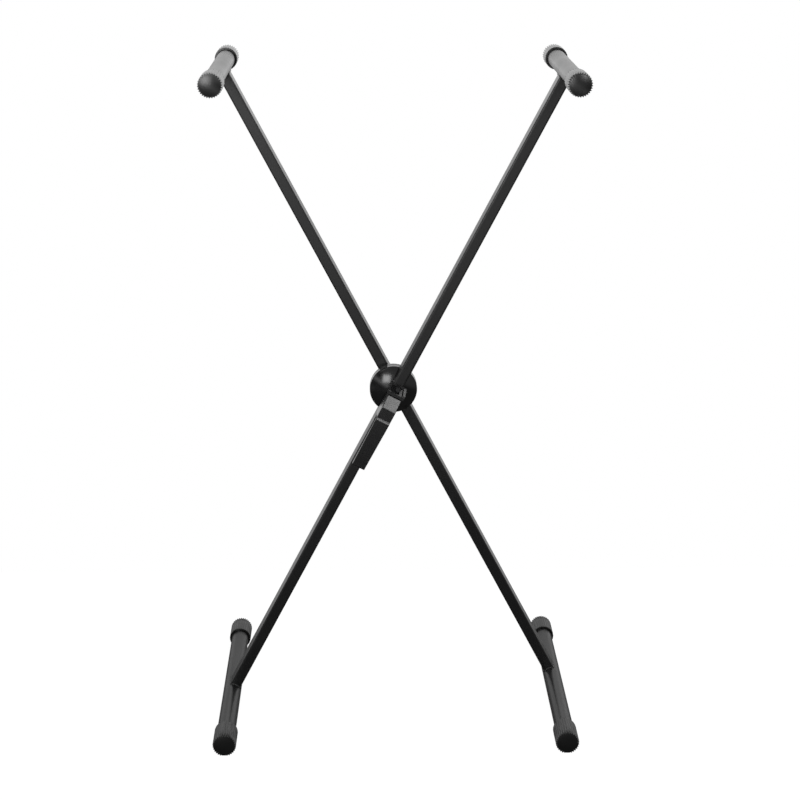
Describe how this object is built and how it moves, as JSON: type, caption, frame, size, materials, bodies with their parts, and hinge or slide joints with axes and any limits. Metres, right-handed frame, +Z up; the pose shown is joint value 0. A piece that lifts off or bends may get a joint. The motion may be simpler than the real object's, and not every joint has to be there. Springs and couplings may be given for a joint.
{
  "type": "keyboard stand",
  "caption": "Folding X-shaped keyboard stand of black steel tube, with capped top and foot bars, a round hub and a squeeze release lever.",
  "frame": {"origin": "on the floor, under the middle of the stand's bounding box", "axes": "+Z up, +Y away from the front along the bars, +X to the right as seen from the front"},
  "size_m": [0.4924, 0.43, 0.906],
  "materials": {
    "frame_coat": "black semi-gloss powder coat",
    "cap_moulding": "moulded, fluted",
    "hub_moulding": "glossy moulded",
    "lever_moulding": "satin moulded",
    "zinc_plate": "zinc plated",
    "spring_steel": "drawn wire",
    "nylon": "moulded",
    "black_oxide": "black oxide on steel"
  },
  "bodies": {
    "rear_frame": {"rear_arm": "frame_coat", "left_top_bar": "frame_coat", "right_foot_bar": "frame_coat", "left_top_front_cap": "cap_moulding", "left_top_rear_cap": "cap_moulding", "right_foot_front_cap": "cap_moulding", "right_foot_rear_cap": "cap_moulding", "hub_rear_shell": "hub_moulding", "index_disc": "zinc_plate", "index_spacer": "zinc_plate", "index_dowel_upper": "zinc_plate", "index_dowel_lower": "zinc_plate", "rear_crush_sleeve": "zinc_plate", "pivot_spacer": "nylon", "pivot_bolt": "black_oxide", "bolt_washer": "black_oxide", "nut_washer": "black_oxide", "pivot_nut": "black_oxide"},
    "front_frame": {"front_arm": "frame_coat", "right_top_bar": "frame_coat", "left_foot_bar": "frame_coat", "right_top_front_cap": "cap_moulding", "right_top_rear_cap": "cap_moulding", "left_foot_front_cap": "cap_moulding", "left_foot_rear_cap": "cap_moulding", "hub_front_shell": "hub_moulding", "front_crush_sleeve": "zinc_plate", "pin_guide": "nylon", "lever_bracket": "lever_moulding", "bracket_rivet": "zinc_plate", "lever_hinge_pin": "spring_steel", "return_spring": "spring_steel", "pin_spring": "spring_steel"},
    "release_lever": {"release_lever": "lever_moulding", "pull_fork": "black_oxide"},
    "lock_pin": {"lock_pin": "black_oxide"}
  },
  "joints": [
    {"name": "fold", "type": "hinge", "parent": "rear_frame", "child": "front_frame", "pos_m": [0, 0.006, 0.45223], "axis": [0, 1, 0], "range_deg": [-45, 45]},
    {"name": "squeeze", "type": "hinge", "parent": "front_frame", "child": "release_lever", "pos_m": [-0.00559, -0.0445, 0.44161], "axis": [0.885, 0, -0.4656], "range_deg": [0, 9], "stiffness_Nm_per_rad": 4},
    {"name": "lock_slide", "type": "slide", "parent": "front_frame", "child": "lock_pin", "axis": [0, -1, 0], "range_m": [0, 0.0037]}
  ],
  "couplings": [
    {"joint": "lock_slide", "follows": "squeeze", "m_per_rad": 0.023}
  ]
}
